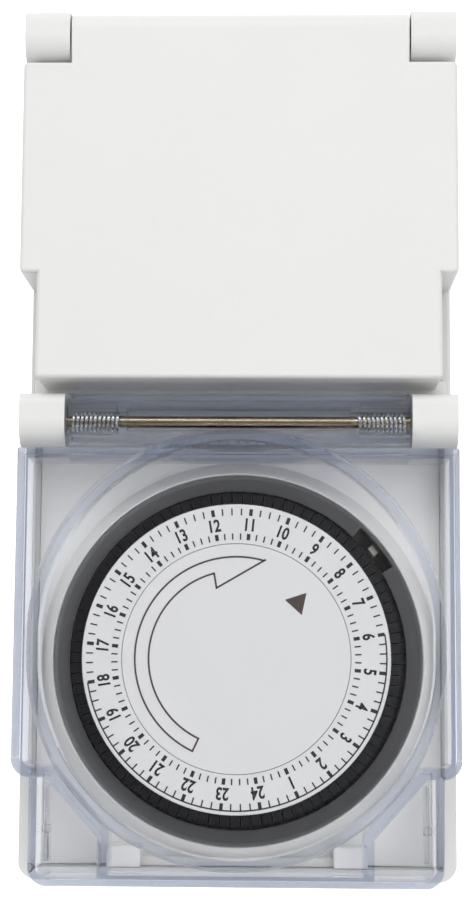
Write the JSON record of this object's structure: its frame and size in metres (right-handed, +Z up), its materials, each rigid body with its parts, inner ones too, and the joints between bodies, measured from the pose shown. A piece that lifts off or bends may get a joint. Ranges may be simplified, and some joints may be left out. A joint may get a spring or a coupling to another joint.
{
  "type": "mechanical time switch",
  "caption": "Wall-mounted 24-hour mechanical time switch for an irrigation valve, with a hinged terminal cover, a clear sprung lid and a turning dial.",
  "frame": {"origin": "centre of the rear wall face", "axes": "+Z up along the height, -Y towards the front, +X to the right seen from the front"},
  "size_m": [0.072, 0.055, 0.1444],
  "materials": {
    "white_abs": "fine spark-eroded matte",
    "clear_polycarbonate": "clear moulded plastic",
    "pin_steel": "drawn",
    "yellow_zinc": "yellow zinc plated",
    "spring_steel": "drawn wire",
    "grey_plate": "fine matte",
    "dark_well": "satin",
    "dial_face": "printed matte",
    "black_plastic": "satin",
    "brass_parts": "machined",
    "acetal": "satin",
    "zinc_sheet": "zinc plated",
    "coil_copper": "enamelled copper winding",
    "ferrite": "sintered",
    "pad_red": "moulded",
    "block_grey": "moulded",
    "copper_strip": "rolled copper",
    "black_rubber": "matte"
  },
  "bodies": {
    "base": {"housing": "white_abs", "back_plate": "white_abs", "terminal_cover_pin": "pin_steel", "lid_pin": "yellow_zinc", "lid_spring_left": "spring_steel", "lid_spring_right": "spring_steel", "dial_plate": "grey_plate", "dial_well": "dark_well", "well_ring": "dark_well", "centre_disc": "dial_face", "centre_post": "pin_steel", "idler_arbor": "pin_steel", "gear_plate": "zinc_sheet", "gear_plate_screws": "zinc_sheet", "motor_can": "zinc_sheet", "motor_coil": "coil_copper", "lever_pin": "pin_steel", "lever_spring": "spring_steel", "switch_case": "black_plastic", "switch_terminals": "brass_parts", "terminal_block": "block_grey", "terminal_clamps": "brass_parts", "terminal_screws": "zinc_sheet", "busbars": "copper_strip", "cable_grommet": "black_rubber"},
    "cover": {"terminal_cover": "white_abs"},
    "lid": {"clear_lid": "clear_polycarbonate"},
    "dial": {"hour_ring": "dial_face", "dial_arbor": "brass_parts", "segment_carrier": "black_plastic", "segments": "black_plastic", "dial_gear": "acetal"},
    "idler": {"idler_gear": "acetal"},
    "motor_rotor": {"rotor": "ferrite", "motor_pinion": "brass_parts"},
    "lever": {"trip_lever": "acetal", "lever_pad": "pad_red"},
    "tappet_1": {"segment_1": "black_plastic"},
    "tappet_2": {"segment_2": "black_plastic"},
    "tappet_3": {"segment_3": "black_plastic"},
    "tappet_4": {"segment_4": "black_plastic"},
    "tappet_5": {"segment_5": "black_plastic"},
    "tappet_6": {"segment_6": "black_plastic"},
    "tappet_7": {"segment_7": "black_plastic"},
    "tappet_8": {"segment_8": "black_plastic"}
  },
  "joints": [
    {"name": "cover_hinge", "type": "hinge", "parent": "base", "child": "cover", "pos_m": [0, -0.0474, 0.0672], "axis": [-1, 0, 0], "range_deg": [0, 90]},
    {"name": "lid_hinge", "type": "hinge", "parent": "base", "child": "lid", "pos_m": [0, -0.0456, 0.0028], "axis": [-1, 0, 0], "range_deg": [0, 55], "stiffness_Nm_per_rad": 0.006, "springref_deg": -68.75},
    {"name": "dial_turn", "type": "hinge", "parent": "base", "child": "dial", "pos_m": [0, -0.0445, -0.036], "axis": [0, 1, 0], "continuous": true},
    {"name": "idler_turn", "type": "hinge", "parent": "base", "child": "idler", "pos_m": [-0.01681, -0.028, -0.01797], "axis": [0, 1, 0], "continuous": true},
    {"name": "rotor_turn", "type": "hinge", "parent": "base", "child": "motor_rotor", "pos_m": [-0.00276, -0.016, -0.01797], "axis": [0, 1, 0], "continuous": true},
    {"name": "lever_swing", "type": "hinge", "parent": "base", "child": "lever", "pos_m": [0.02934, -0.03, -0.02639], "axis": [0, 1, 0], "range_deg": [0, 2.2], "stiffness_Nm_per_rad": 0.002},
    {"name": "tappet_1_slide", "type": "slide", "parent": "dial", "child": "tappet_1", "axis": [0.3827, 0, 0.9239], "range_m": [0, 0.001]},
    {"name": "tappet_2_slide", "type": "slide", "parent": "dial", "child": "tappet_2", "axis": [0.3214, 0, 0.9469], "range_m": [0, 0.001]},
    {"name": "tappet_3_slide", "type": "slide", "parent": "dial", "child": "tappet_3", "axis": [0.2588, 0, 0.9659], "range_m": [0, 0.001]},
    {"name": "tappet_4_slide", "type": "slide", "parent": "dial", "child": "tappet_4", "axis": [0.1951, 0, 0.9808], "range_m": [0, 0.001]},
    {"name": "tappet_5_slide", "type": "slide", "parent": "dial", "child": "tappet_5", "axis": [0.1305, 0, 0.9914], "range_m": [0, 0.001]},
    {"name": "tappet_6_slide", "type": "slide", "parent": "dial", "child": "tappet_6", "axis": [0.0654, 0, 0.9979], "range_m": [0, 0.001]},
    {"name": "tappet_7_slide", "type": "slide", "parent": "dial", "child": "tappet_7", "axis": [0, 0, 1], "range_m": [0, 0.001]},
    {"name": "tappet_8_slide", "type": "slide", "parent": "dial", "child": "tappet_8", "axis": [-0.0654, 0, 0.9979], "range_m": [0, 0.001]}
  ],
  "couplings": [
    {"joint": "idler_turn", "follows": "dial_turn", "ratio": -7.2},
    {"joint": "rotor_turn", "follows": "dial_turn", "ratio": 43.2}
  ]
}
